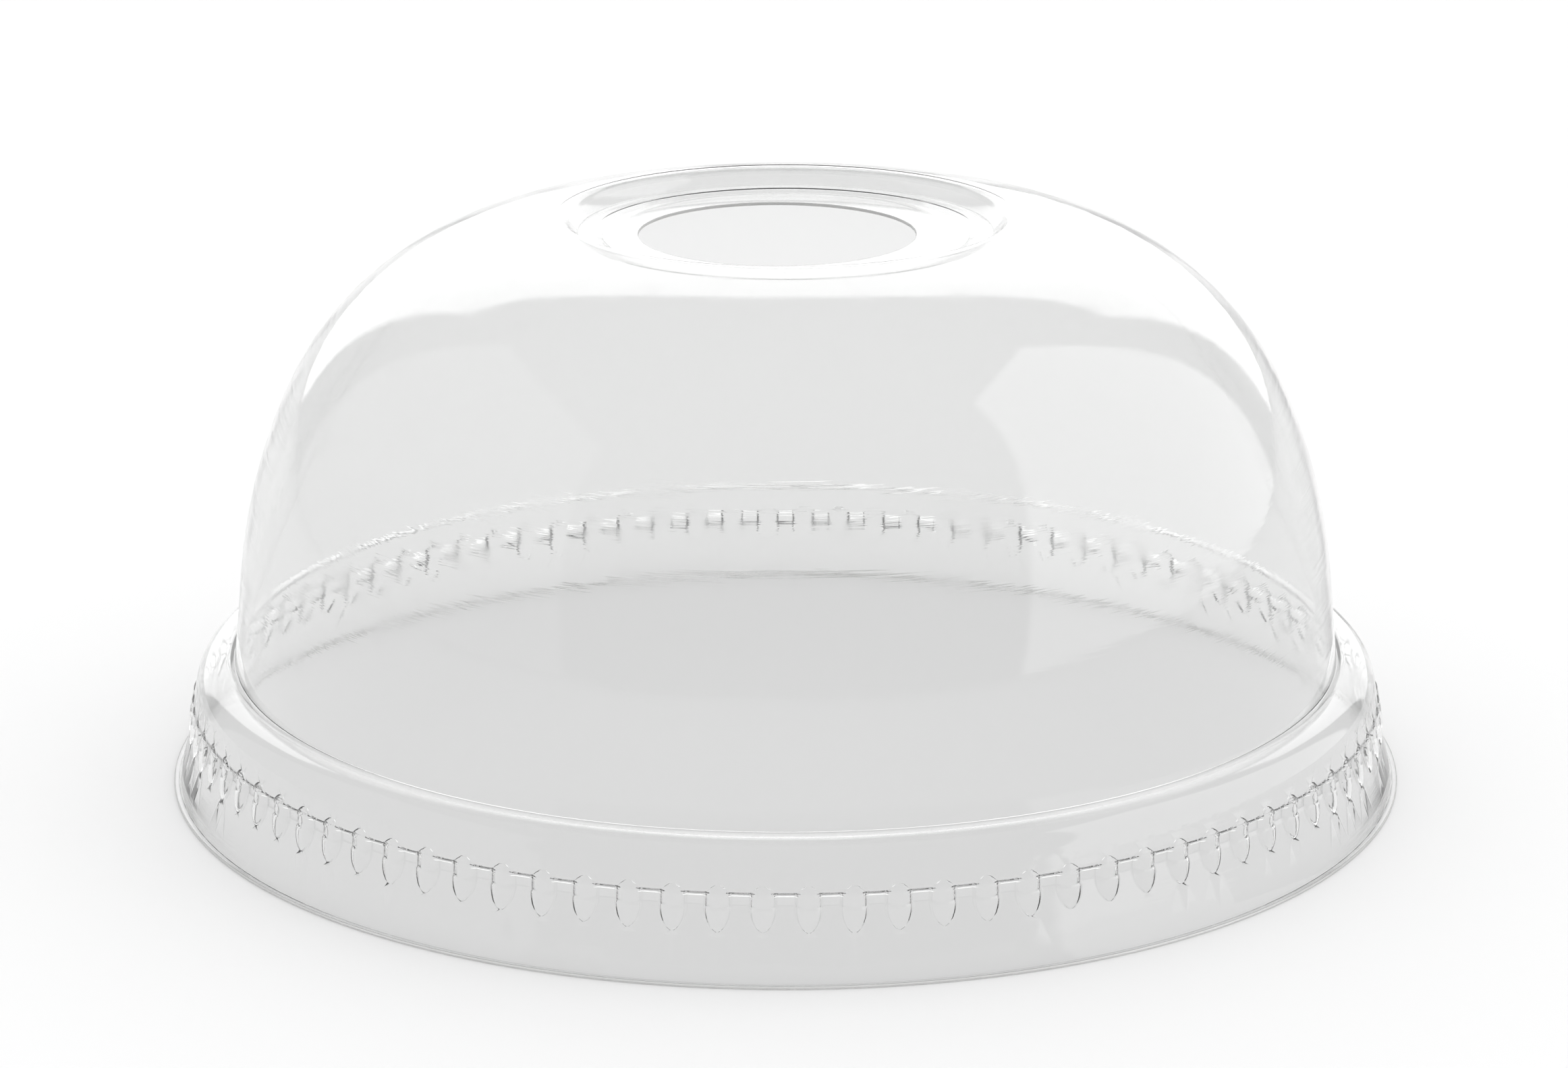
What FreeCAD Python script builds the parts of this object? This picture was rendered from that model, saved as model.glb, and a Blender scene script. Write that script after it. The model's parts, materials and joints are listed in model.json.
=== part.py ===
import FreeCAD, Part
import Sketcher
import math
import operator
import os

# Clear dome lid for a cold-drink cup, thermoformed from one sheet of PET, in millimetres.
# Origin: centre of the lip's underside. +Z: the axis of the dome, out through the straw hole.
# The one skin is divided where its form changes, and each zone is a solid that meets its
# neighbours face to face: hole panel, stepped ring, crown, wall, bead, snap ring with its lugs,
# skirt and lip. Every zone is turned about Z, so outlines are drawn as (radius, height).

DIMENSIONS = [
    # alias, value, meaning
    ("skin", 0.25, "thickness of the formed sheet"),
    ("hole_radius", 11.4, "punched straw hole"),
    ("hole_offset", -0.7, "the punch lands this far from the axis, along X"),
    ("panel_radius", 15.05, "flat panel round the hole"),
    ("panel_height", 45.45, "top of the flat panel"),
    ("ledge_inner_radius", 15.65, "head of the inner step"),
    ("ledge_outer_radius", 17.05, "foot of the outer step"),
    ("ledge_rise", 0.32, "ledge above the panel"),
    ("crest_radius", 17.85, "head of the outer step"),
    ("crest_rise", 1.1, "head of the outer step above the panel"),
    ("crest_round", 1.0, "rounding from the outer step to the crown"),
    ("crown_edge_radius", 18.8, "where the crown begins, outside the steps"),
    ("inner_step_mitre", 0.25, "inner step: inside corners lie this many skins further out"),
    ("outer_step_mitre", 0.4, "outer step: inside corners lie this many skins further out"),
    ("wall_foot_radius", 46.1, "dome wall where it meets the bead"),
    ("wall_foot_height", 10.4, "height of that meeting line"),
    ("wall_draft", 5.73, "lean of the straight wall, degrees"),
    ("wall_run", 7.4, "length of the straight wall"),
    ("flank_round", 44.75, "radius of the profile above the straight wall"),
    ("flank_end", 25.7, "lean where the flank meets the shoulder, degrees"),
    ("shoulder_round", 24.75, "radius of the profile at the shoulder"),
    ("shoulder_end", 77.85, "lean where the shoulder meets the crown, degrees"),
    ("crown_round", 96.7, "radius of the profile over the crown"),
    ("bead_centre_radius", 46.97, "centre of the bead's rounding"),
    ("bead_centre_height", 7.98, "height of that centre"),
    ("bead_round", 2.42, "radius of the bead's rounding"),
    ("bead_start", 102.2, "where the rounding starts, degrees above the radius"),
    ("bead_draft", 11.7, "lean of the bead's side, degrees"),
    ("bead_foot_height", 7.75, "lower end of the bead zone"),
    ("step_height", 6.8, "sharp step under the bead's side"),
    ("groove_depth", 0.55, "snap groove, inward of the bead's side"),
    ("groove_top", 6.6, "upper end of the groove's floor"),
    ("groove_bottom", 6.0, "lower end of the groove's floor"),
    ("skirt_top_radius", 49.55, "skirt just under the groove"),
    ("skirt_top_height", 5.75, "height of that corner"),
    ("skirt_foot_radius", 50.9, "skirt where it meets the lip"),
    ("skirt_foot_height", 0.75, "height of that corner"),
    ("ring_foot_height", 3.4, "lower end of the snap ring zone"),
    ("lip_radius", 51.5, "trimmed outer edge"),
    ("lip_bend", 0.15, "outward run of the bend from the skirt to the lip"),
    ("lip_heel", 50.8, "inner edge of the lip's underside"),
    ("lug_count", 92, "lugs round the snap ring"),
    ("lug_half_width", 1.06, "half of a lug's width"),
    ("lug_half_height", 1.92, "half of a lug's height"),
    ("lug_depth", 0.62, "how far a lug's dome stands out of its centre plane"),
    ("lug_centre_radius", 49.52, "radius of a lug's centre"),
    ("lug_centre_height", 5.7, "height of a lug's centre"),
    ("lug_tilt", 8.0, "lean of a lug, degrees"),
    ("lug_tail", 3.0, "straight length behind a lug's dome, in lug depths"),
    ("core_radius", 36.0, "inner radius of the ring that trims the lugs' inner ends"),
]


class Size:
    """A size worked out from the sheet: its number, and the expression that keeps it bound."""

    def __init__(self, value, text):
        self.value = value
        self.text = text

    def joined(self, other, sign, action):
        """This size and another, or a plain number, joined by an arithmetic sign."""
        if not isinstance(other, Size):
            other = Size(other, repr(other))
        return Size(action(self.value, other.value), f"({self.text} {sign} {other.text})")

    def __add__(self, other):
        return self.joined(other, "+", operator.add)

    def __sub__(self, other):
        return self.joined(other, "-", operator.sub)

    def __mul__(self, other):
        return self.joined(other, "*", operator.mul)

    def __truediv__(self, other):
        return self.joined(other, "/", operator.truediv)


def cosine(degrees):
    return Size(math.cos(math.radians(degrees.value)), f"cos({degrees.text} * 1 deg)")


def sine(degrees):
    return Size(math.sin(math.radians(degrees.value)), f"sin({degrees.text} * 1 deg)")


def make_sheet(doc):
    """Writes the driving dimensions to a spreadsheet, and returns each of them as a Size."""
    sheet = doc.addObject("Spreadsheet::Sheet", "Dimensions")
    for row, (alias, value, meaning) in enumerate(DIMENSIONS, start=1):
        sheet.set(f"A{row}", alias)
        sheet.set(f"B{row}", str(value))
        sheet.set(f"C{row}", meaning)
        sheet.setAlias(f"B{row}", alias)
    doc.recompute()
    aliases = [alias for alias, _, _ in DIMENSIONS]
    return {name: Size(float(sheet.get(name)), f"Dimensions.{name}") for name in aliases}


def step_from(point, direction, length):
    """The point a given length from another, along a direction in degrees above the radius."""
    radius, height = point
    return (radius + cosine(direction) * length, height + sine(direction) * length)


class Corner:
    """A corner of a closed outline. The stretch that leaves it is straight, or an arc.

    An arc bulges to the left of its run where arc_side is 1, and to the right where it is -1.
    """

    def __init__(self, point, arc_radius=None, arc_side=1):
        self.radius, self.height = point
        self.arc_radius = arc_radius
        self.arc_side = arc_side


def add_stretch(sketch, corner, following):
    """Adds one stretch of the outline. Returns its index and its ends in the sketch's terms."""
    start = FreeCAD.Vector(corner.radius.value, corner.height.value, 0)
    end = FreeCAD.Vector(following.radius.value, following.height.value, 0)
    if corner.arc_radius is None:
        return sketch.addGeometry(Part.LineSegment(start, end), False), 1, 2
    half = (end - start) * 0.5
    across = FreeCAD.Vector(-half.y, half.x, 0).normalize()
    radius = corner.arc_radius.value
    rise = radius - math.sqrt(radius**2 - half.Length**2)
    middle = start + half + across * (rise * corner.arc_side)
    index = sketch.addGeometry(Part.Arc(start, middle, end), False)
    clockwise = (middle - start).cross(end - start).z < 0
    return index, (2 if clockwise else 1), (1 if clockwise else 2)


def bind(sketch, constraint, size, name):
    """Adds a driving constraint, names it and ties it to the sheet."""
    index = sketch.addConstraint(constraint)
    sketch.renameConstraint(index, name)
    sketch.setExpression(f"Constraints.{name}", size.text)


def add_outline(body, corners):
    """A closed sketch on the body's XZ plane, with every corner's place tied to the sheet."""
    sketch = body.newObject("Sketcher::SketchObject", f"{body.Name}_outline")
    plane = next(o for o in body.Origin.OriginFeatures if o.Role == "XZ_Plane")
    sketch.AttachmentSupport = [(plane, "")]
    sketch.MapMode = "FlatFace"
    count = len(corners)
    stretches = [
        add_stretch(sketch, corner, corners[(i + 1) % count]) for i, corner in enumerate(corners)
    ]
    for i, corner in enumerate(corners):
        index, start, end = stretches[i]
        after, after_start, _ = stretches[(i + 1) % count]
        sketch.addConstraint(Sketcher.Constraint("Coincident", index, end, after, after_start))
        place_x = Sketcher.Constraint("DistanceX", -1, 1, index, start, corner.radius.value)
        place_y = Sketcher.Constraint("DistanceY", -1, 1, index, start, corner.height.value)
        bind(sketch, place_x, corner.radius, f"radius_{i}")
        bind(sketch, place_y, corner.height, f"height_{i}")
        if corner.arc_radius is not None:
            curve = Sketcher.Constraint("Radius", index, corner.arc_radius.value)
            bind(sketch, curve, corner.arc_radius, f"round_{i}")
    return sketch


def turned_zone(doc, label, corners):
    """A zone of the skin as a PartDesign body: its outline turned once about Z."""
    body = doc.addObject("PartDesign::Body", label)
    body.Label = label
    sketch = add_outline(body, corners)
    turn = body.newObject("PartDesign::Revolution", f"{label}_turn")
    turn.Profile = sketch
    turn.ReferenceAxis = (sketch, ["V_Axis"])
    turn.Angle = 360.0
    sketch.Visibility = False
    return body


def hole_panel(doc, d):
    """Flat disc with the punched hole, which isn't quite on the axis."""
    body = doc.addObject("PartDesign::Body", "straw_hole_panel")
    body.Label = "straw_hole_panel"
    sketch = body.newObject("Sketcher::SketchObject", "straw_hole_panel_outline")
    plane = next(o for o in body.Origin.OriginFeatures if o.Role == "XY_Plane")
    sketch.AttachmentSupport = [(plane, "")]
    sketch.MapMode = "FlatFace"
    up = FreeCAD.Vector(0, 0, 1)
    hole_centre = FreeCAD.Vector(d["hole_offset"].value, 0, 0)
    rim = sketch.addGeometry(Part.Circle(FreeCAD.Vector(), up, d["panel_radius"].value), False)
    hole = sketch.addGeometry(Part.Circle(hole_centre, up, d["hole_radius"].value), False)
    sketch.addConstraint(Sketcher.Constraint("Coincident", rim, 3, -1, 1))
    sketch.addConstraint(Sketcher.Constraint("PointOnObject", hole, 3, -1))
    shift = Sketcher.Constraint("DistanceX", -1, 1, hole, 3, d["hole_offset"].value)
    rim_radius = Sketcher.Constraint("Radius", rim, d["panel_radius"].value)
    hole_radius = Sketcher.Constraint("Radius", hole, d["hole_radius"].value)
    bind(sketch, shift, d["hole_offset"], "hole_offset")
    bind(sketch, rim_radius, d["panel_radius"], "panel_radius")
    bind(sketch, hole_radius, d["hole_radius"], "hole_radius")
    pad = body.newObject("PartDesign::Pad", "straw_hole_panel_pad")
    pad.Profile = sketch
    pad.setExpression("Length", d["skin"].text)
    body.setExpression("Placement.Base.z", (d["panel_height"] - d["skin"]).text)
    return body


def dome_stations(d):
    """The outer points where the dome's stretches meet, each with the direction of its normal."""
    right_angle = Size(90.0, "90")
    foot = (d["wall_foot_radius"], d["wall_foot_height"])
    wall_top = step_from(foot, d["wall_draft"] + 90.0, d["wall_run"])
    flank_centre = step_from(wall_top, d["wall_draft"] + 180.0, d["flank_round"])
    flank_top = step_from(flank_centre, d["flank_end"], d["flank_round"])
    shoulder_centre = step_from(flank_top, d["flank_end"] + 180.0, d["shoulder_round"])
    shoulder_top = step_from(shoulder_centre, d["shoulder_end"], d["shoulder_round"])
    crown_centre = step_from(shoulder_top, d["shoulder_end"] + 180.0, d["crown_round"])
    reach = d["crown_edge_radius"] - crown_centre[0]
    rise = Size(
        math.sqrt(d["crown_round"].value ** 2 - reach.value**2),
        f"sqrt({d['crown_round'].text}^2 - {reach.text}^2)",
    )
    lean = Size(
        math.degrees(math.acos(reach.value / d["crown_round"].value)),
        f"(acos({reach.text} / {d['crown_round'].text}) / 1 deg)",
    )
    crown_edge = (d["crown_edge_radius"], crown_centre[1] + rise)
    return {
        "panel_edge": ((d["panel_radius"], d["panel_height"]), right_angle),
        "crown_edge": (crown_edge, lean),
        "shoulder_top": (shoulder_top, d["shoulder_end"]),
        "flank_top": (flank_top, d["flank_end"]),
        "wall_top": (wall_top, d["wall_draft"]),
        "foot": (foot, d["wall_draft"]),
    }


def inside(station, skin):
    """The point on the inner face that faces an outer one through the skin."""
    point, normal = station
    return step_from(point, normal + 180.0, skin)


def stepped_ring(doc, d, at):
    """Two small steps from the sunk panel up to the crown."""
    ledge = d["panel_height"] + d["ledge_rise"]
    crest = (d["crest_radius"], d["panel_height"] + d["crest_rise"])
    skin = d["skin"]
    corners = [
        Corner(at["panel_edge"][0]),
        Corner((d["ledge_inner_radius"], ledge)),
        Corner((d["ledge_outer_radius"], ledge)),
        Corner(crest, d["crest_round"], 1),
        Corner(at["crown_edge"][0]),
        Corner(inside(at["crown_edge"], skin), d["crest_round"] - skin, -1),
        Corner((crest[0] + skin * d["outer_step_mitre"], crest[1] - skin)),
        Corner((d["ledge_outer_radius"] + skin * d["outer_step_mitre"], ledge - skin)),
        Corner((d["ledge_inner_radius"] + skin * d["inner_step_mitre"], ledge - skin)),
        Corner(inside(at["panel_edge"], skin)),
    ]
    return turned_zone(doc, "stepped_ring", corners)


def dome_crown(doc, d, at):
    """The gently arched crown and the rounded shoulder."""
    skin = d["skin"]
    corners = [
        Corner(at["crown_edge"][0], d["crown_round"], 1),
        Corner(at["shoulder_top"][0], d["shoulder_round"], 1),
        Corner(at["flank_top"][0]),
        Corner(inside(at["flank_top"], skin), d["shoulder_round"] - skin, -1),
        Corner(inside(at["shoulder_top"], skin), d["crown_round"] - skin, -1),
        Corner(inside(at["crown_edge"], skin)),
    ]
    return turned_zone(doc, "dome_crown", corners)


def dome_wall(doc, d, at):
    """The curved flank and the straight, slightly leaning wall below it."""
    skin = d["skin"]
    corners = [
        Corner(at["flank_top"][0], d["flank_round"], 1),
        Corner(at["wall_top"][0]),
        Corner(at["foot"][0]),
        Corner(inside(at["foot"], skin)),
        Corner(inside(at["wall_top"], skin), d["flank_round"] - skin, -1),
        Corner(inside(at["flank_top"], skin)),
    ]
    return turned_zone(doc, "dome_wall", corners)


def bead_side(d, height):
    """Radius of the bead's leaning side at a height, outside and inside."""
    centre = (d["bead_centre_radius"], d["bead_centre_height"])
    top = step_from(centre, d["bead_draft"], d["bead_round"])
    fall = top[1] - height
    outer = top[0] + fall * (sine(d["bead_draft"]) / cosine(d["bead_draft"]))
    return outer, outer - d["skin"] / cosine(d["bead_draft"])


def rim_bead(doc, d, at):
    """The hollow bead that sits over the cup's rolled rim."""
    centre = (d["bead_centre_radius"], d["bead_centre_height"])
    inner_round = d["bead_round"] - d["skin"]
    foot = d["bead_foot_height"]
    outer, inner = bead_side(d, foot)
    corners = [
        Corner(at["foot"][0]),
        Corner(step_from(centre, d["bead_start"], d["bead_round"]), d["bead_round"], 1),
        Corner(step_from(centre, d["bead_draft"], d["bead_round"])),
        Corner((outer, foot)),
        Corner((inner, foot)),
        Corner(step_from(centre, d["bead_draft"], inner_round), inner_round, -1),
        Corner(step_from(centre, d["bead_start"], inner_round)),
        Corner(inside(at["foot"], d["skin"])),
    ]
    return turned_zone(doc, "rim_bead", corners)


def skirt_radius(d, height):
    """Outer radius of the flared skirt at a height."""
    fall = d["skirt_top_height"] - height
    flare = (d["skirt_foot_radius"] - d["skirt_top_radius"]) / (
        d["skirt_top_height"] - d["skirt_foot_height"]
    )
    return d["skirt_top_radius"] + fall * flare


def ring_faces(d):
    """The snap ring's outer face from the top down, then its inner face, as (radius, height)."""
    skin = d["skin"]
    bead_outer, bead_inner = bead_side(d, d["bead_foot_height"])
    step_outer, step_inner = bead_side(d, d["step_height"])
    floor = step_outer - d["groove_depth"]
    foot = skirt_radius(d, d["ring_foot_height"])
    outer = [
        (bead_outer, d["bead_foot_height"]),
        (step_outer, d["step_height"]),
        (floor, d["groove_top"]),
        (floor, d["groove_bottom"]),
        (d["skirt_top_radius"], d["skirt_top_height"]),
        (foot, d["ring_foot_height"]),
    ]
    inner = [
        (bead_inner, d["bead_foot_height"]),
        (step_inner, d["step_height"] + skin),
        (floor - skin, d["groove_top"] + skin),
        (floor - skin, d["groove_bottom"] - skin),
        (d["skirt_top_radius"] - skin, d["skirt_top_height"] - skin),
        (foot - skin, d["ring_foot_height"]),
    ]
    return outer, inner


def flared_skirt(doc, d):
    """The cone that guides the lid onto the cup, below the lugs."""
    skin = d["skin"]
    top = (skirt_radius(d, d["ring_foot_height"]), d["ring_foot_height"])
    foot = (d["skirt_foot_radius"], d["skirt_foot_height"])
    corners = [
        Corner(top),
        Corner(foot),
        Corner((foot[0] - skin, foot[1])),
        Corner((top[0] - skin, top[1])),
    ]
    return turned_zone(doc, "flared_skirt", corners)


def rim_lip(doc, d):
    """The small turned-out lip with its trimmed edge, which the lid stands on."""
    skin = d["skin"]
    foot = (d["skirt_foot_radius"], d["skirt_foot_height"])
    ground = Size(0.0, "0")
    corners = [
        Corner(foot),
        Corner((foot[0] + d["lip_bend"], skin)),
        Corner((d["lip_radius"], skin)),
        Corner((d["lip_radius"], ground)),
        Corner((d["lip_heel"], ground)),
        Corner((foot[0] - skin, foot[1])),
    ]
    return turned_zone(doc, "rim_lip", corners)


def lug_form(d, wall):
    """A lug's solid form, shrunk by a wall: a domed end, and straight sides back into the ring."""
    tail = d["lug_tail"].value
    dome_start = FreeCAD.Vector(1, 0, 0)
    dome_middle = FreeCAD.Vector(math.sqrt(0.5), math.sqrt(0.5), 0)
    dome_end = FreeCAD.Vector(0, 1, 0)
    back = FreeCAD.Vector(-tail, 1, 0)
    axis_back = FreeCAD.Vector(-tail, 0, 0)
    outline = Part.Wire(
        [
            Part.Arc(dome_start, dome_middle, dome_end).toShape(),
            Part.LineSegment(dome_end, back).toShape(),
            Part.LineSegment(back, axis_back).toShape(),
            Part.LineSegment(axis_back, dome_start).toShape(),
        ]
    )
    unit = Part.Face(outline).revolve(FreeCAD.Vector(), FreeCAD.Vector(1, 0, 0), 360)
    stretch = FreeCAD.Matrix()
    stretch.scale(
        d["lug_depth"].value - wall,
        d["lug_half_width"].value - wall,
        d["lug_half_height"].value - wall,
    )
    form = unit.transformGeometry(stretch)
    form.rotate(FreeCAD.Vector(), FreeCAD.Vector(0, 1, 0), -d["lug_tilt"].value)
    centre = FreeCAD.Vector(d["lug_centre_radius"].value, 0, d["lug_centre_height"].value)
    form.translate(centre)
    return form


def around(shape, count):
    """Copies of a shape spaced evenly about Z as one compound, with gaps at the X and Y axes."""
    pitch = 360.0 / count
    copies = []
    for i in range(count):
        copy = shape.copy()
        copy.rotate(FreeCAD.Vector(), FreeCAD.Vector(0, 0, 1), pitch * (i + 0.5))
        copies.append(copy)
    return Part.makeCompound(copies)


def ring_core(d, inner):
    """The space inside the snap ring's inner face, as a solid that trims the lugs."""
    core = d["core_radius"]
    points = [(core, inner[0][1])] + inner + [(core, inner[-1][1])]
    corners = [FreeCAD.Vector(radius.value, 0, height.value) for radius, height in points]
    face = Part.Face(Part.makePolygon(corners + corners[:1]))
    return face.revolve(FreeCAD.Vector(), FreeCAD.Vector(0, 0, 1), 360)


def snap_zone(doc, d):
    """The snap ring with a window at each lug, and the lugs that fill the windows."""
    outer, inner = ring_faces(d)
    blank = turned_zone(doc, "snap_ring_blank", [Corner(p) for p in outer + inner[::-1]])
    doc.recompute()
    count = int(d["lug_count"].value)
    form = lug_form(d, 0.0)
    lug = form.cut(lug_form(d, d["skin"].value)).cut(ring_core(d, inner))
    windows = doc.addObject("Part::Feature", "lug_windows")
    windows.Shape = around(form, count)
    ring = doc.addObject("Part::Cut", "snap_ring")
    ring.Label = "snap_ring"
    ring.Base = blank
    ring.Tool = windows
    lugs = doc.addObject("Part::Feature", "snap_lugs")
    lugs.Label = "snap_lugs"
    lugs.Shape = around(lug, count)
    lugs.Placement = FreeCAD.Placement()
    return ring, lugs


def check(doc, parts):
    """Stops if anything in the document failed, or if a part has no sound solid."""
    for item in doc.Objects:
        if {"Invalid", "Error"} & set(item.State):
            raise SystemExit(f"{item.Name} failed: {item.State}")
    for part in parts:
        if part.Shape.isNull() or not part.Shape.isValid() or not part.Shape.Solids:
            raise SystemExit(f"{part.Label} has no valid solid")


def main():
    doc = FreeCAD.newDocument("dome_lid")
    d = make_sheet(doc)
    at = dome_stations(d)
    parts = [
        hole_panel(doc, d),
        stepped_ring(doc, d, at),
        dome_crown(doc, d, at),
        dome_wall(doc, d, at),
        rim_bead(doc, d, at),
        flared_skirt(doc, d),
        rim_lip(doc, d),
    ]
    parts.extend(snap_zone(doc, d))
    doc.recompute()
    check(doc, parts)
    os.makedirs("parts", exist_ok=True)
    for part in parts:
        part.Shape.exportStep(f"parts/{part.Label}.step")
        print(part.Label, len(part.Shape.Solids), round(part.Shape.Volume, 3))


main()
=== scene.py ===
import json
import math
import random

import bpy
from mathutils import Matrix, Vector


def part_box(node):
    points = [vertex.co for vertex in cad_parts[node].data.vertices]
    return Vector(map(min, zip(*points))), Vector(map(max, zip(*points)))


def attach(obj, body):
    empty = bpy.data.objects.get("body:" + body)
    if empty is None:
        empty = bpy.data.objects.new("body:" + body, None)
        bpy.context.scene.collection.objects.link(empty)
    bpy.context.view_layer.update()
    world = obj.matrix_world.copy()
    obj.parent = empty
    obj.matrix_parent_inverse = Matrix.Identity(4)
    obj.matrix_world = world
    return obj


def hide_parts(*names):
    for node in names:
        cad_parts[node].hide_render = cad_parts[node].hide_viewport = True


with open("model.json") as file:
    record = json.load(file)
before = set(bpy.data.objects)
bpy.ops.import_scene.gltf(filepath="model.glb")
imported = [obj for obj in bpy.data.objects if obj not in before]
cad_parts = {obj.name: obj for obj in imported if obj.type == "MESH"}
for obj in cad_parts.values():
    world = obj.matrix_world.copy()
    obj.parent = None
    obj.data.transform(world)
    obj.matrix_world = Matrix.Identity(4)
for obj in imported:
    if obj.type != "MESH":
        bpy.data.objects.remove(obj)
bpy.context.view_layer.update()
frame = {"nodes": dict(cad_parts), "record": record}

# Clear dome lid, in metres, Z up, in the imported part's frame.
# The whole lid is one formed sheet, so it is one closed skin: an outer face, the trimmed lip,
# an inner face and the punched hole's edge. The skin is a stack of rings round the Z axis.
# Rings are coarse over the dome and fine where the 92 snap lugs are.

MM = 0.001

# Places and sizes read from the frame
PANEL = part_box("straw_hole_panel")[1]
CROWN_EDGE_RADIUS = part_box("stepped_ring")[1].x
CROWN_EDGE_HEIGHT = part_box("dome_crown")[1].z
FLANK_TOP = (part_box("dome_crown")[1].x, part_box("dome_wall")[1].z)
WALL_FOOT_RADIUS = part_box("dome_wall")[1].x
LIP_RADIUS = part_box("rim_lip")[1].x
HOLE = next(m for m in frame["record"]["mounts"] if m["name"] == "straw_hole")
HOLE_RADIUS = HOLE["dims"]["r_mm"] * MM
HOLE_OFFSET = HOLE["pos_m"][0]
SKIN = PANEL.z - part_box("straw_hole_panel")[0].z

# Profile of the outer face
LEDGE_RISE = 0.32 * MM
LEDGE_INNER_RADIUS = 15.65 * MM
LEDGE_OUTER_RADIUS = 17.05 * MM
CREST_RADIUS = 17.85 * MM
CREST_RISE = 1.1 * MM
CREST_ROUND = 1.0 * MM
INNER_STEP_MITRE = 0.25
OUTER_STEP_MITRE = 0.4
CROWN_ROUND = 96.7 * MM
SHOULDER_END = 77.85
SHOULDER_ROUND = 24.75 * MM
FLANK_END = 25.7
FLANK_ROUND = 44.75 * MM
WALL_DRAFT = 5.73
WALL_FOOT_HEIGHT = 10.4 * MM
BEAD_CENTRE = (46.97 * MM, 7.98 * MM)
BEAD_ROUND = 2.42 * MM
BEAD_START = 102.2
BEAD_DRAFT = 11.7
STEP_HEIGHT = 6.75 * MM
GROOVE_DEPTH = 0.26 * MM
GROOVE_TOP = 6.58 * MM
GROOVE_BOTTOM = 5.85 * MM
SKIRT_TOP = (49.58 * MM, 5.7 * MM)
SKIRT_FOOT = (50.9 * MM, 0.75 * MM)
LIP_BEND = 0.15 * MM
RING_SKIN = 0.15 * MM  # the sheet is drawn thinner round the groove
CORNER_BLUR = 0.06 * MM
EDGE_ROUND = 0.04 * MM

# Snap lugs
LUG_COUNT = 92
LUG_TOP = 7.26 * MM
LUG_TIP = 3.95 * MM
LUG_ARCH_ROUND = 1.12 * MM
LUG_NECK = 1.03 * MM
LUG_BELLY = 1.09 * MM
LUG_BULGE = 0.22 * MM
LUG_ZONE = (8.0 * MM, 3.55 * MM)
LUG_SQUARENESS = 2.2
LUG_FULLNESS = 0.5
TIP_LENGTH = 1.8
TIP_BLUNTNESS = 0.62
INNER_WIDTH = 0.82

# A lug's columns from its ridge out: shares of its half width, then shares of the gap beside it
LUG_SHARES = (0.0, 0.45, 0.8, 0.95, 1.0)
GAP_SHARES = (0.16, 1.0)

# Rings
COARSE_COLUMNS = 2 * LUG_COUNT
FINE_COLUMNS = 2 * (len(LUG_SHARES) + len(GAP_SHARES) - 1) * LUG_COUNT
DENSE_STEP = 0.04 * MM
MOST_TURN = math.radians(7.5)
MOST_RUN = 2.4 * MM

# Camera
VIEW_ELEVATION = 16.92
VIEW_DISTANCE = 0.37875
VIEW_AIM = Vector((-0.00014, 0.0, 0.01964))
LENS = 103.9


def polar(centre, degrees, radius):
    """The point at an angle above the radius and a distance from a centre."""
    angle = math.radians(degrees)
    return (centre[0] + radius * math.cos(angle), centre[1] + radius * math.sin(angle))


def line_pairs(start, end, inner_start, inner_end):
    """Matched points along a straight stretch of the outer face and of the inner face."""
    count = max(2, round(math.dist(start, end) / DENSE_STEP))
    pairs = []
    for i in range(count):
        t = i / count
        outer = (start[0] + (end[0] - start[0]) * t, start[1] + (end[1] - start[1]) * t)
        inner = (
            inner_start[0] + (inner_end[0] - inner_start[0]) * t,
            inner_start[1] + (inner_end[1] - inner_start[1]) * t,
        )
        pairs.append((outer, inner))
    return pairs


def arc_pairs(centre, radius, start_angle, end_angle):
    """Matched points along an arc of the outer face and the inner face's arc behind it."""
    count = max(3, round(radius * math.radians(abs(end_angle - start_angle)) / DENSE_STEP))
    pairs = []
    for i in range(count):
        angle = start_angle + (end_angle - start_angle) * i / count
        pairs.append((polar(centre, angle, radius), polar(centre, angle, radius - SKIN)))
    return pairs


def crest_pairs(crest, crown_edge):
    """The rounding from the outer step up and over to the crown."""
    half = math.dist(crest, crown_edge) / 2
    middle = ((crest[0] + crown_edge[0]) / 2, (crest[1] + crown_edge[1]) / 2)
    run = (crown_edge[0] - crest[0], crown_edge[1] - crest[1])
    depth = math.sqrt(CREST_ROUND**2 - half**2) / (2 * half)
    centre = (middle[0] + run[1] * depth, middle[1] - run[0] * depth)
    start = math.degrees(math.atan2(crest[1] - centre[1], crest[0] - centre[0]))
    end = math.degrees(math.atan2(crown_edge[1] - centre[1], crown_edge[0] - centre[0]))
    return arc_pairs(centre, CREST_ROUND, start, end)


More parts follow.
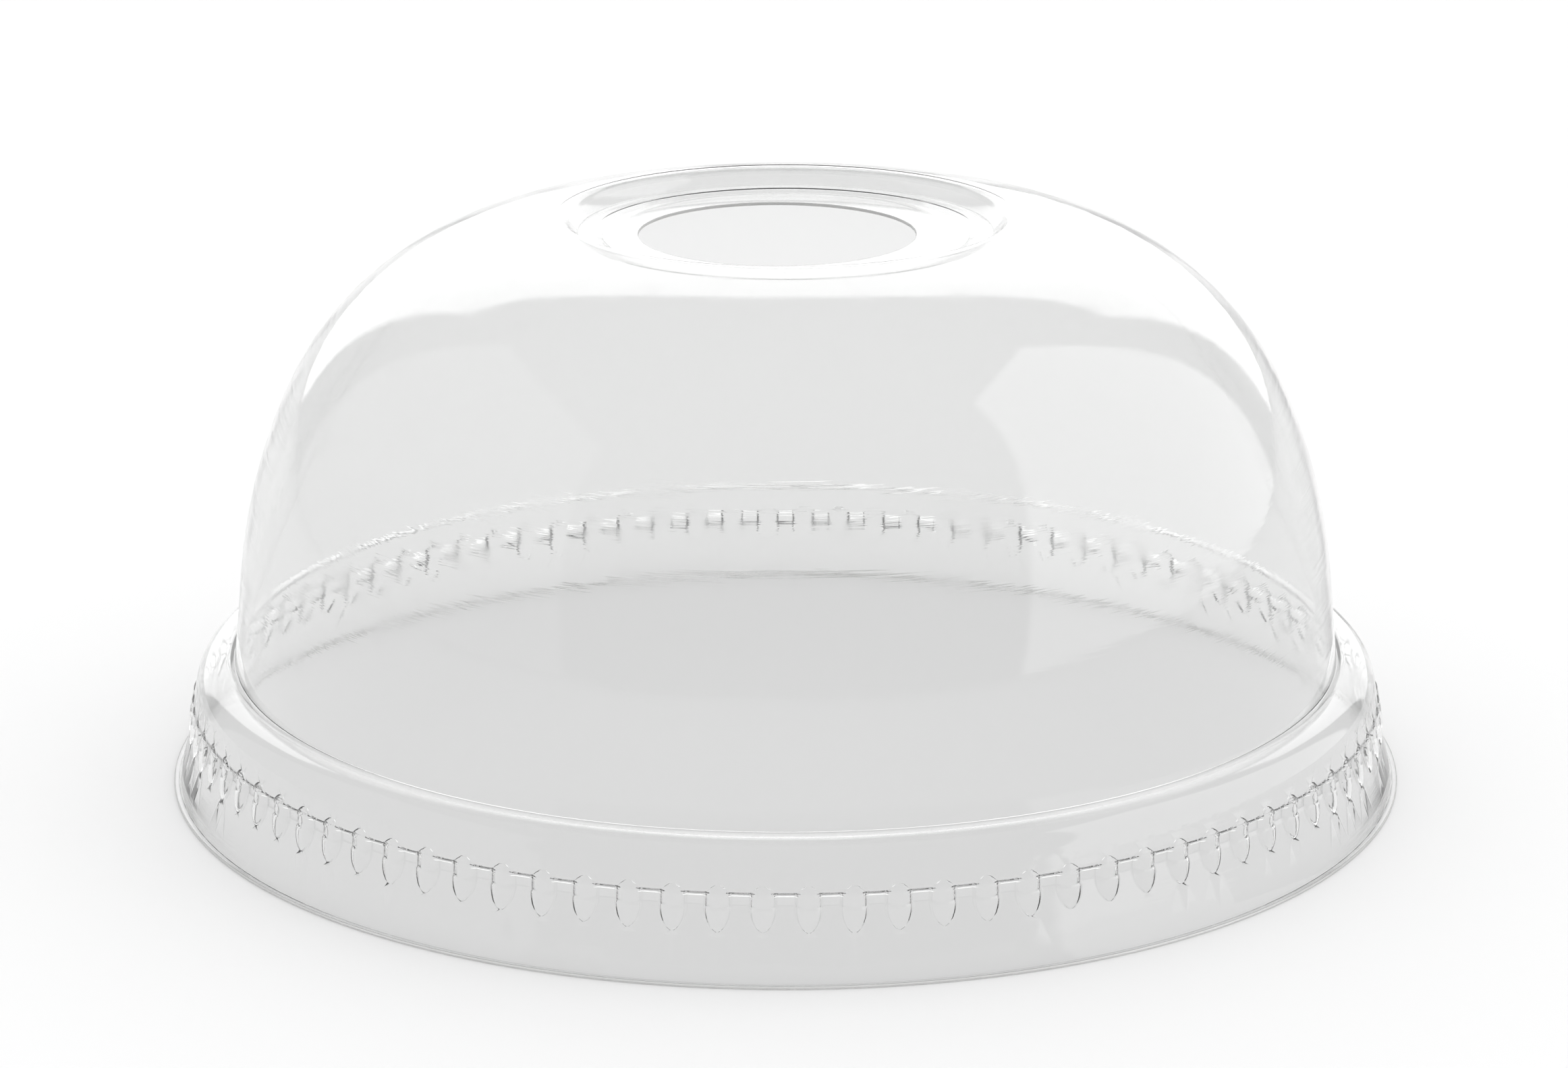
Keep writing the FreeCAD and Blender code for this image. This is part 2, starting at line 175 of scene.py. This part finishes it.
def dome_pairs():
    """The steps, crown, shoulder, flank and wall, from the panel down to the bead."""
    ledge = PANEL.z + LEDGE_RISE
    crest = (CREST_RADIUS, PANEL.z + CREST_RISE)
    crown_edge = (CROWN_EDGE_RADIUS, CROWN_EDGE_HEIGHT)
    inner_step = SKIN * INNER_STEP_MITRE
    outer_step = SKIN * OUTER_STEP_MITRE
    outer = [
        (HOLE_RADIUS + EDGE_ROUND, PANEL.z),
        (PANEL.x, PANEL.z),
        (LEDGE_INNER_RADIUS, ledge),
        (LEDGE_OUTER_RADIUS, ledge),
        crest,
    ]
    inner = [
        (HOLE_RADIUS + EDGE_ROUND, PANEL.z - SKIN),
        (PANEL.x, PANEL.z - SKIN),
        (LEDGE_INNER_RADIUS + inner_step, ledge - SKIN),
        (LEDGE_OUTER_RADIUS + outer_step, ledge - SKIN),
        (crest[0] + outer_step, crest[1] - SKIN),
    ]
    pairs = []
    for i in range(len(outer) - 1):
        pairs += line_pairs(outer[i], outer[i + 1], inner[i], inner[i + 1])
    flank_centre = polar(FLANK_TOP, FLANK_END + 180, FLANK_ROUND)
    shoulder_centre = polar(FLANK_TOP, FLANK_END + 180, SHOULDER_ROUND)
    shoulder_top = polar(shoulder_centre, SHOULDER_END, SHOULDER_ROUND)
    crown_centre = polar(shoulder_top, SHOULDER_END + 180, CROWN_ROUND)
    crown_lean = math.degrees(
        math.atan2(crown_edge[1] - crown_centre[1], crown_edge[0] - crown_centre[0])
    )
    pairs += crest_pairs(crest, crown_edge)
    pairs += arc_pairs(crown_centre, CROWN_ROUND, crown_lean, SHOULDER_END)
    pairs += arc_pairs(shoulder_centre, SHOULDER_ROUND, SHOULDER_END, FLANK_END)
    pairs += arc_pairs(flank_centre, FLANK_ROUND, FLANK_END, WALL_DRAFT)
    return pairs, polar(flank_centre, WALL_DRAFT, FLANK_ROUND)


def bead_side(height):
    """Radius of the bead's leaning side at a height, outside and inside."""
    lean = math.radians(BEAD_DRAFT)
    top = polar(BEAD_CENTRE, BEAD_DRAFT, BEAD_ROUND)
    outer = top[0] + (top[1] - height) * math.tan(lean)
    return outer, outer - SKIN / math.cos(lean)


def rim_pairs(wall_top):
    """The wall, bead, step, groove, skirt and lip, from the flank down to the trimmed edge."""
    foot = (WALL_FOOT_RADIUS, WALL_FOOT_HEIGHT)
    bead_start = polar(BEAD_CENTRE, BEAD_START, BEAD_ROUND)
    inner_bead_start = polar(BEAD_CENTRE, BEAD_START, BEAD_ROUND - SKIN)
    inner_wall_top = polar(wall_top, WALL_DRAFT + 180, SKIN)
    inner_foot = polar(foot, WALL_DRAFT + 180, SKIN)
    pairs = line_pairs(wall_top, foot, inner_wall_top, inner_foot)
    pairs += line_pairs(foot, bead_start, inner_foot, inner_bead_start)
    pairs += arc_pairs(BEAD_CENTRE, BEAD_ROUND, BEAD_START, BEAD_DRAFT)
    step_outer, step_inner = bead_side(STEP_HEIGHT)
    floor = step_outer - GROOVE_DEPTH
    outer = [
        polar(BEAD_CENTRE, BEAD_DRAFT, BEAD_ROUND),
        (step_outer, STEP_HEIGHT),
        (floor, GROOVE_TOP),
        (floor, GROOVE_BOTTOM),
        SKIRT_TOP,
        SKIRT_FOOT,
        (SKIRT_FOOT[0] + LIP_BEND, SKIN),
        (LIP_RADIUS - EDGE_ROUND, SKIN),
    ]
    inner = [
        polar(BEAD_CENTRE, BEAD_DRAFT, BEAD_ROUND - SKIN),
        (step_inner, STEP_HEIGHT + RING_SKIN),
        (floor - RING_SKIN, GROOVE_TOP + RING_SKIN),
        (floor - RING_SKIN, GROOVE_BOTTOM - RING_SKIN),
        (SKIRT_TOP[0] - RING_SKIN, SKIRT_TOP[1] - RING_SKIN),
        (SKIRT_FOOT[0] - SKIN, SKIRT_FOOT[1]),
        (SKIRT_FOOT[0] - LIP_BEND, 0.0),
        (LIP_RADIUS - EDGE_ROUND, 0.0),
    ]
    for i in range(len(outer) - 1):
        pairs += line_pairs(outer[i], outer[i + 1], inner[i], inner[i + 1])
    return pairs + [(outer[-1], inner[-1])]


def blurred(points):
    """The points with every sharp corner rounded, and both ends kept."""
    reach = math.ceil(3 * CORNER_BLUR / DENSE_STEP)
    weights = [
        math.exp(-0.5 * (i * DENSE_STEP / CORNER_BLUR) ** 2) for i in range(-reach, reach + 1)
    ]
    total = sum(weights)
    rounded = []
    last = len(points) - 1
    for i in range(len(points)):
        near = [points[min(max(i + k, 0), last)] for k in range(-reach, reach + 1)]
        if i < reach or i > last - reach:
            rounded.append(points[i])
            continue
        rounded.append(tuple(sum(w * p[a] for w, p in zip(weights, near)) / total for a in (0, 1)))
    return rounded


def turn_between(before, at, after):
    """The turn of a path at a point, in radians."""
    first = math.atan2(at[1] - before[1], at[0] - before[0])
    second = math.atan2(after[1] - at[1], after[0] - at[0])
    return abs(math.remainder(second - first, 2 * math.pi))


def chosen_rows(points, first, last):
    """Indices from first to last, close together where the path turns and beside a cut edge."""
    rows = [first]
    turned = 0.0
    run = 0.0
    beside_edges = (1, 4, len(points) - 5, len(points) - 2)
    for i in range(first + 1, last):
        turned += turn_between(points[i - 1], points[i], points[i + 1])
        run += math.dist(points[i - 1], points[i])
        if turned > MOST_TURN or run > MOST_RUN or i in beside_edges:
            rows.append(i)
            turned = 0.0
            run = 0.0
    rows.append(last)
    return rows


def eased(start, end, count):
    """Values from start towards end, closer together at both ends."""
    span = end - start
    return [start + span * (1 - math.cos(math.pi * i / count)) / 2 for i in range(count)]


def lug_heights():
    """Heights of the fine rows, from the bead's side down to the skirt."""
    # Each height starts a stretch of this many rows
    stations = [
        (LUG_ZONE[0], 1),
        (LUG_TOP, 6),
        (STEP_HEIGHT, 4),
        (GROOVE_TOP, 5),
        (GROOVE_BOTTOM, 4),
        (SKIRT_TOP[1], 9),
        (LUG_TIP, 1),
        (LUG_ZONE[1], 0),
    ]
    heights = []
    for i in range(len(stations) - 1):
        heights += eased(stations[i][0], stations[i + 1][0], stations[i][1])
    return heights + [LUG_ZONE[1]]


def smooth_share(value, start, end):
    """0 before start, 1 after end, and smooth between them."""
    t = min(max((value - start) / (end - start), 0.0), 1.0)
    return t * t * (3 - 2 * t)


def lug_half_width(height, tip):
    """Half of a lug's width at a height: an arch, a neck across the groove, and a rounded tip."""
    arch_centre = LUG_TOP - LUG_ARCH_ROUND
    if height >= LUG_TOP or height <= tip:
        return 0.0
    if height > STEP_HEIGHT:
        return math.sqrt(max(LUG_ARCH_ROUND**2 - (height - arch_centre) ** 2, 0.0))
    if height > SKIRT_TOP[1]:
        shoulder = smooth_share(height, GROOVE_TOP, STEP_HEIGHT)
        belly = smooth_share(-height, -GROOVE_BOTTOM, -SKIRT_TOP[1])
        return LUG_NECK + (LUG_BELLY - LUG_NECK) * max(shoulder, belly)
    fall = (SKIRT_TOP[1] - height) / (SKIRT_TOP[1] - tip)
    return LUG_BELLY * (1 - fall**TIP_LENGTH) ** TIP_BLUNTNESS


def grid_half_width(height, tip):
    """Half of the width between a lug's outer columns, which never closes up."""
    least = 0.1 * MM
    open_width = 0.8 * MM
    if height > LUG_TOP:
        return least + (open_width - least) * smooth_share(height, LUG_TOP, LUG_ZONE[0])
    if height < tip:
        return least + (open_width - least) * smooth_share(-height, -tip, -LUG_ZONE[1])
    return max(lug_half_width(height, tip), least)


def ridge_line(height, tip):
    """Radius of the straight line under a lug's ridge, and how full the lug is, at a height."""
    share = (LUG_TOP - height) / (LUG_TOP - tip)
    start = bead_side(LUG_TOP)[0]
    bow = 1 - abs(2 * share - 1) ** LUG_SQUARENESS
    return start + (skirt_radius(tip) - start) * share, bow**LUG_FULLNESS


def skirt_radius(height):
    """Outer radius of the skirt at a height."""
    flare = (SKIRT_FOOT[0] - SKIRT_TOP[0]) / (SKIRT_TOP[1] - SKIRT_FOOT[1])
    return SKIRT_TOP[0] + (SKIRT_TOP[1] - height) * flare


def lug_columns():
    """(side, lug share, gap share) of each column round one lug, from gap to gap."""
    half = [(share, 0.0) for share in LUG_SHARES] + [(1.0, share) for share in GAP_SHARES]
    left = [(-1, lug, gap) for lug, gap in reversed(half[1:-1])]
    right = [(1, lug, gap) for lug, gap in half]
    return left + right


def lug_variations():
    """Each lug's tip height and bulge, which differ a little."""
    chance = random.Random(94)
    tip_spread = 0.06 * MM
    bulge_spread = 0.07
    variations = []
    for _ in range(LUG_COUNT):
        tip = LUG_TIP + chance.uniform(-1, 1) * tip_spread
        bulge = LUG_BULGE * (1 + chance.uniform(-1, 1) * bulge_spread)
        variations.append((tip, bulge))
    return variations


def fine_ring(face, pair, lugs):
    """One ring of the lug zone on a face of the skin: 0 is the outer face and 1 the inner."""
    height = pair[0][1]
    base_radius, base_height = pair[face]
    pitch = 2 * math.pi * SKIRT_TOP[0] / LUG_COUNT
    columns = lug_columns()
    ring = []
    for number, (tip, bulge) in enumerate(lugs):
        grid = grid_half_width(height, tip) * (INNER_WIDTH if face else 1.0)
        bridge = swell = 0.0
        if tip < height < LUG_TOP:
            line, fullness = ridge_line(height, tip)
            bridge = max(line - (SKIN if face else 0.0) - base_radius, 0.0)
            swell = bulge * fullness
        for side, lug_share, gap_share in columns:
            along = lug_share * grid + gap_share * (pitch / 2 - grid)
            angle = 2 * math.pi * (number + 0.5 + side * along / pitch) / LUG_COUNT
            fall = 1 - lug_share**LUG_SQUARENESS
            radius = base_radius + bridge * fall + swell * fall**LUG_FULLNESS
            ring.append((radius * math.cos(angle), radius * math.sin(angle), base_height))
    return ring


def hole_shift(radius):
    """How far a ring's centre is moved along X, so that the rings settle on the punched hole."""
    return HOLE_OFFSET * (1 - smooth_share(radius, HOLE_RADIUS, PANEL.x))


def coarse_ring(point):
    """One ring over the dome, the skirt or the lip."""
    radius, height = point
    shift = hole_shift(radius)
    angles = [2 * math.pi * i / COARSE_COLUMNS for i in range(COARSE_COLUMNS)]
    return [(shift + radius * math.cos(a), radius * math.sin(a), height) for a in angles]


def burred(ring, chance):
    """The hole's edge with the small tears that the punch leaves, mostly on its +X -Y side."""
    least_torn = 0.25
    most_torn_at = math.radians(-35)
    tear = 0.05 * MM
    curl = 0.03 * MM
    torn = []
    for x, y, z in ring:
        angle = math.atan2(y, x - HOLE_OFFSET)
        roughness = least_torn + max(math.cos(angle - most_torn_at), 0.0)
        reach = 1 + chance.uniform(-1, 1) * roughness * tear / HOLE_RADIUS
        lift = chance.uniform(-1, 1) * roughness * curl
        torn.append((HOLE_OFFSET + (x - HOLE_OFFSET) * reach, y * reach, z + lift))
    return torn


def edge_rings(radius, top, bottom):
    """The two rings of a cut edge, inside its small roundings."""
    return [
        coarse_ring((radius, top - EDGE_ROUND)),
        coarse_ring((radius, bottom + EDGE_ROUND)),
    ]


def skin_rings():
    """Every ring of the closed skin, in order: outer face, lip edge, inner face, hole edge."""
    upper, wall_top = dome_pairs()
    pairs = upper + rim_pairs(wall_top)
    outer = blurred([pair[0] for pair in pairs])
    inner = blurred([pair[1] for pair in pairs])
    last = len(outer) - 1
    rim = next(i for i in range(last) if outer[i][0] > BEAD_CENTRE[0])
    heights = lug_heights()
    fine = [
        min(range(rim, last), key=lambda i: abs(outer[i][1] - height)) for height in heights
    ]
    above = chosen_rows(outer, 0, fine[0])[:-1]
    below = chosen_rows(outer, fine[-1], last)[1:]
    lugs = lug_variations()
    chance = random.Random(11)
    faces = []
    for number, face in enumerate((outer, inner)):
        rings = [coarse_ring(face[i]) for i in above]
        rings += [fine_ring(number, (outer[i], inner[i]), lugs) for i in fine]
        rings += [coarse_ring(face[i]) for i in below]
        faces.append(rings)
    lip_edge = edge_rings(LIP_RADIUS, SKIN, 0.0)
    hole_edge = [burred(r, chance) for r in edge_rings(HOLE_RADIUS, PANEL.z, PANEL.z - SKIN)]
    return faces[0] + lip_edge + faces[1][::-1] + hole_edge[::-1]


def joining_faces(first, first_count, second, second_count):
    """Faces between two neighbouring rings, given each ring's first vertex and its count."""
    if first_count == second_count:
        return [
            (first + i, first + (i + 1) % first_count, second + (i + 1) % first_count, second + i)
            for i in range(first_count)
        ]
    flipped = first_count > second_count
    coarse, coarse_count = (second, second_count) if flipped else (first, first_count)
    fine, fine_count = (first, first_count) if flipped else (second, second_count)
    ratio = fine_count // coarse_count
    half = ratio // 2
    faces = []
    for i in range(coarse_count):
        a = coarse + i
        b = coarse + (i + 1) % coarse_count
        fan = [fine + (i * ratio + k) % fine_count for k in range(ratio + 1)]
        faces += [(a, fan[k + 1], fan[k]) for k in range(half)]
        faces.append((a, b, fan[half]))
        faces += [(b, fan[k + 1], fan[k]) for k in range(half, ratio)]
    return [face[::-1] for face in faces] if flipped else faces


def shifted(ring):
    """A fine ring turned so that it starts at the middle of a gap, as the coarse rings do."""
    return ring[-1:] + ring[:-1]


def on_cut_edge(point):
    """True at the trimmed lip edge and the punched hole's edge."""
    from_hole = math.hypot(point.x - HOLE_OFFSET, point.y)
    at_lip = math.hypot(point.x, point.y) > LIP_RADIUS - EDGE_ROUND and point.z < SKIN
    return at_lip or (from_hole < HOLE_RADIUS + EDGE_ROUND and point.z > PANEL.z - 2 * SKIN)


def build_skin():
    """The lid's closed skin as one mesh object, with its cut edges as a second material."""
    rings = [shifted(r) if len(r) == FINE_COLUMNS else r for r in skin_rings()]
    vertices = []
    starts = []
    for ring in rings:
        starts.append(len(vertices))
        vertices += ring
    faces = []
    for i in range(len(rings)):
        j = (i + 1) % len(rings)
        faces += joining_faces(starts[i], len(rings[i]), starts[j], len(rings[j]))
    mesh = bpy.data.meshes.new("dome_lid_skin")
    mesh.from_pydata(vertices, [], [face[::-1] for face in faces])
    mesh.update()
    mesh.shade_smooth()
    for polygon in mesh.polygons:
        polygon.material_index = int(on_cut_edge(polygon.center))
    skin = bpy.data.objects.new("dome_lid_skin", mesh)
    bpy.context.scene.collection.objects.link(skin)
    return skin


def add_node(tree, kind, **inputs):
    """A shader node with some of its inputs set."""
    node = tree.nodes.new(kind)
    for name, value in inputs.items():
        node.inputs[name.replace("_", " ")].default_value = value
    return node


def clear_pet():
    """Thin clear PET: faint draw lines and waves from forming, with fine dust and scratches."""
    material = bpy.data.materials.new("clear_pet")
    material.use_nodes = True
    tree = material.node_tree
    tree.nodes.clear()
    link = tree.links.new
    place = add_node(tree, "ShaderNodeTexCoord")

    waves = add_node(tree, "ShaderNodeTexNoise", Scale=45.0, Detail=2.0)
    link(place.outputs["Object"], waves.inputs["Vector"])
    drawn = add_node(tree, "ShaderNodeMapping")
    drawn.inputs["Scale"].default_value = (60.0, 60.0, 1800.0)
    link(place.outputs["Object"], drawn.inputs["Vector"])
    lines = add_node(tree, "ShaderNodeTexNoise", Scale=1.0, Detail=3.0)
    link(drawn.outputs["Vector"], lines.inputs["Vector"])

    wave_bump = add_node(tree, "ShaderNodeBump", Strength=0.25, Distance=0.0004)
    link(waves.outputs["Fac"], wave_bump.inputs["Height"])
    line_bump = add_node(tree, "ShaderNodeBump", Strength=0.12, Distance=0.00004)
    link(lines.outputs["Fac"], line_bump.inputs["Height"])
    link(wave_bump.outputs["Normal"], line_bump.inputs["Normal"])

    scuffs = add_node(tree, "ShaderNodeTexNoise", Scale=260.0, Detail=6.0)
    link(place.outputs["Object"], scuffs.inputs["Vector"])
    roughness = add_node(tree, "ShaderNodeMapRange")
    roughness.inputs["From Min"].default_value = 0.45
    roughness.inputs["From Max"].default_value = 0.8
    roughness.inputs["To Min"].default_value = 0.02
    roughness.inputs["To Max"].default_value = 0.12
    link(scuffs.outputs["Fac"], roughness.inputs["Value"])

    plastic = add_node(tree, "ShaderNodeBsdfPrincipled", IOR=1.57)
    plastic.inputs["Base Color"].default_value = (0.88, 0.882, 0.88, 1.0)
    plastic.inputs["Transmission Weight"].default_value = 1.0
    link(roughness.outputs["Result"], plastic.inputs["Roughness"])
    link(line_bump.outputs["Normal"], plastic.inputs["Normal"])

    lamp_light = add_node(tree, "ShaderNodeBsdfTransparent")
    lamp_light.inputs["Color"].default_value = (0.86, 0.86, 0.86, 1.0)
    rays = add_node(tree, "ShaderNodeLightPath")
    passing = add_node(tree, "ShaderNodeMath")
    passing.operation = "MAXIMUM"
    link(rays.outputs["Is Shadow Ray"], passing.inputs[0])
    link(rays.outputs["Is Diffuse Ray"], passing.inputs[1])
    mix = add_node(tree, "ShaderNodeMixShader")
    link(passing.outputs["Value"], mix.inputs["Fac"])
    link(plastic.outputs["BSDF"], mix.inputs[1])
    link(lamp_light.outputs["BSDF"], mix.inputs[2])
    output = add_node(tree, "ShaderNodeOutputMaterial")
    link(mix.outputs["Shader"], output.inputs["Surface"])
    return material


def cut_edge():
    """The sheared edge of the sheet, which scatters light."""
    material = bpy.data.materials.new("clear_pet_cut_edge")
    material.use_nodes = True
    tree = material.node_tree
    plastic = tree.nodes["Principled BSDF"]
    place = add_node(tree, "ShaderNodeTexCoord")
    grain = add_node(tree, "ShaderNodeTexNoise", Scale=2500.0, Detail=3.0)
    tree.links.new(place.outputs["Object"], grain.inputs["Vector"])
    roughness = add_node(tree, "ShaderNodeMapRange")
    roughness.inputs["To Min"].default_value = 0.25
    roughness.inputs["To Max"].default_value = 0.6
    tree.links.new(grain.outputs["Fac"], roughness.inputs["Value"])
    tree.links.new(roughness.outputs["Result"], plastic.inputs["Roughness"])
    plastic.inputs["Base Color"].default_value = (0.8, 0.8, 0.79, 1.0)
    plastic.inputs["Transmission Weight"].default_value = 0.45
    plastic.inputs["IOR"].default_value = 1.57
    return material


def pale_floor():
    """A plain pale floor just under the lip, far larger than any view of the lid."""
    half = 6.0
    level = -0.02 * MM
    corners = [(-half, -half, level), (half, -half, level), (half, half, level), (-half, half, level)]
    mesh = bpy.data.meshes.new("floor")
    mesh.from_pydata(corners, [], [(0, 1, 2, 3)])
    floor = bpy.data.objects.new("floor", mesh)
    bpy.context.scene.collection.objects.link(floor)
    material = bpy.data.materials.new("pale_floor")
    material.use_nodes = True
    paint = material.node_tree.nodes["Principled BSDF"]
    paint.inputs["Base Color"].default_value = (0.86, 0.86, 0.86, 1.0)
    paint.inputs["Roughness"].default_value = 0.9
    paint.inputs["Specular IOR Level"].default_value = 0.1
    mesh.materials.append(material)


def math_node(tree, operation, *values, clamp=False):
    """The output of a Math node whose inputs are sockets or numbers."""
    node = tree.nodes.new("ShaderNodeMath")
    node.operation = operation
    node.use_clamp = clamp
    for socket, value in zip(node.inputs, values):
        if isinstance(value, (int, float)):
            socket.default_value = value
        else:
            tree.links.new(value, socket)
    return node.outputs[0]


def above_zero(tree, value, softness):
    """A socket that goes from 0 to 1 as value passes zero."""
    return math_node(tree, "MULTIPLY_ADD", value, 1 / softness, 0.5, clamp=True)


def card(tree, facing, sideways, upwards, near, far, top, slant, softness=0.04):
    """How much of a white card shows in a direction.

    The card stands one unit away along facing, from near to far sideways and up to top. Its near
    edge moves by slant for each unit of height.
    """
    edge = math_node(tree, "MULTIPLY", upwards, slant)
    near_side = math_node(tree, "SUBTRACT", sideways, math_node(tree, "MULTIPLY", facing, near))
    near_side = math_node(tree, "SUBTRACT", near_side, edge)
    far_side = math_node(tree, "SUBTRACT", math_node(tree, "MULTIPLY", facing, far), sideways)
    below_top = math_node(tree, "SUBTRACT", math_node(tree, "MULTIPLY", facing, top), upwards)
    shown = above_zero(tree, facing, softness)
    for side in (near_side, far_side, below_top):
        shown = math_node(tree, "MULTIPLY", shown, above_zero(tree, side, softness))
    return shown


def studio():
    """Plain surroundings with a bright card behind the lid and a fainter one at each side."""
    world = bpy.data.worlds.new("studio")
    bpy.context.scene.world = world
    world.use_nodes = True
    tree = world.node_tree
    place = tree.nodes.new("ShaderNodeTexCoord")
    split = tree.nodes.new("ShaderNodeSeparateXYZ")
    tree.links.new(place.outputs["Generated"], split.inputs["Vector"])
    x, y, z = split.outputs
    left = math_node(tree, "MULTIPLY", x, -1.0)
    back_card = card(tree, y, x, z, -0.66, 0.7, 0.87, 0.0)
    left_card = card(tree, left, y, z, -1.0, 0.9, 1.48, 0.3)
    right_card = card(tree, x, y, z, -0.9, 0.9, 1.85, 0.46)
    surroundings_level = 0.75
    back_level = 1.0
    strength = math_node(tree, "MULTIPLY_ADD", back_card, back_level, surroundings_level)
    for shown, level in ((left_card, 0.2), (right_card, 0.7)):
        strength = math_node(tree, "MULTIPLY_ADD", shown, level, strength)
    background = tree.nodes["Background"]
    tree.links.new(strength, background.inputs["Strength"])
    background.inputs["Color"].default_value = (1.0, 1.0, 1.0, 1.0)


def overhead_light():
    """A large soft light above, which isn't mirrored in the lid."""
    lamp = bpy.data.lights.new("overhead", "AREA")
    lamp.shape = "RECTANGLE"
    lamp.size = 1.8
    lamp.size_y = 1.8
    lamp.energy = 7.5
    light = bpy.data.objects.new("overhead", lamp)
    light.location = (0.0, 0.25, 1.4)
    light.visible_glossy = False
    light.visible_transmission = False
    light.visible_camera = False
    bpy.context.scene.collection.objects.link(light)


def camera():
    """The photograph's view: low, close and from straight in front."""
    data = bpy.data.cameras.new("camera")
    data.sensor_width = 36.0
    data.lens = LENS
    data.clip_start = 0.01
    data.clip_end = 30.0
    eye = bpy.data.objects.new("camera", data)
    lift = math.radians(VIEW_ELEVATION)
    back = Vector((0.0, -math.cos(lift), math.sin(lift)))
    eye.location = VIEW_AIM + back * VIEW_DISTANCE
    eye.rotation_mode = "QUATERNION"
    eye.rotation_quaternion = (-back).to_track_quat("-Z", "Y")
    bpy.context.scene.collection.objects.link(eye)
    bpy.context.scene.camera = eye


def render_settings():
    """Plain colours, and enough bounces for light to pass every face of the thin skin."""
    scene = bpy.context.scene
    scene.view_settings.view_transform = "Standard"
    scene.cycles.max_bounces = 24
    scene.cycles.transmission_bounces = 24
    scene.cycles.glossy_bounces = 6
    scene.cycles.transparent_max_bounces = 32
    scene.cycles.caustics_reflective = False
    scene.cycles.caustics_refractive = False


skin = build_skin()
skin.data.materials.append(clear_pet())
skin.data.materials.append(cut_edge())
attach(skin, "root")
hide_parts(*frame["nodes"])
pale_floor()
studio()
overhead_light()
camera()
render_settings()
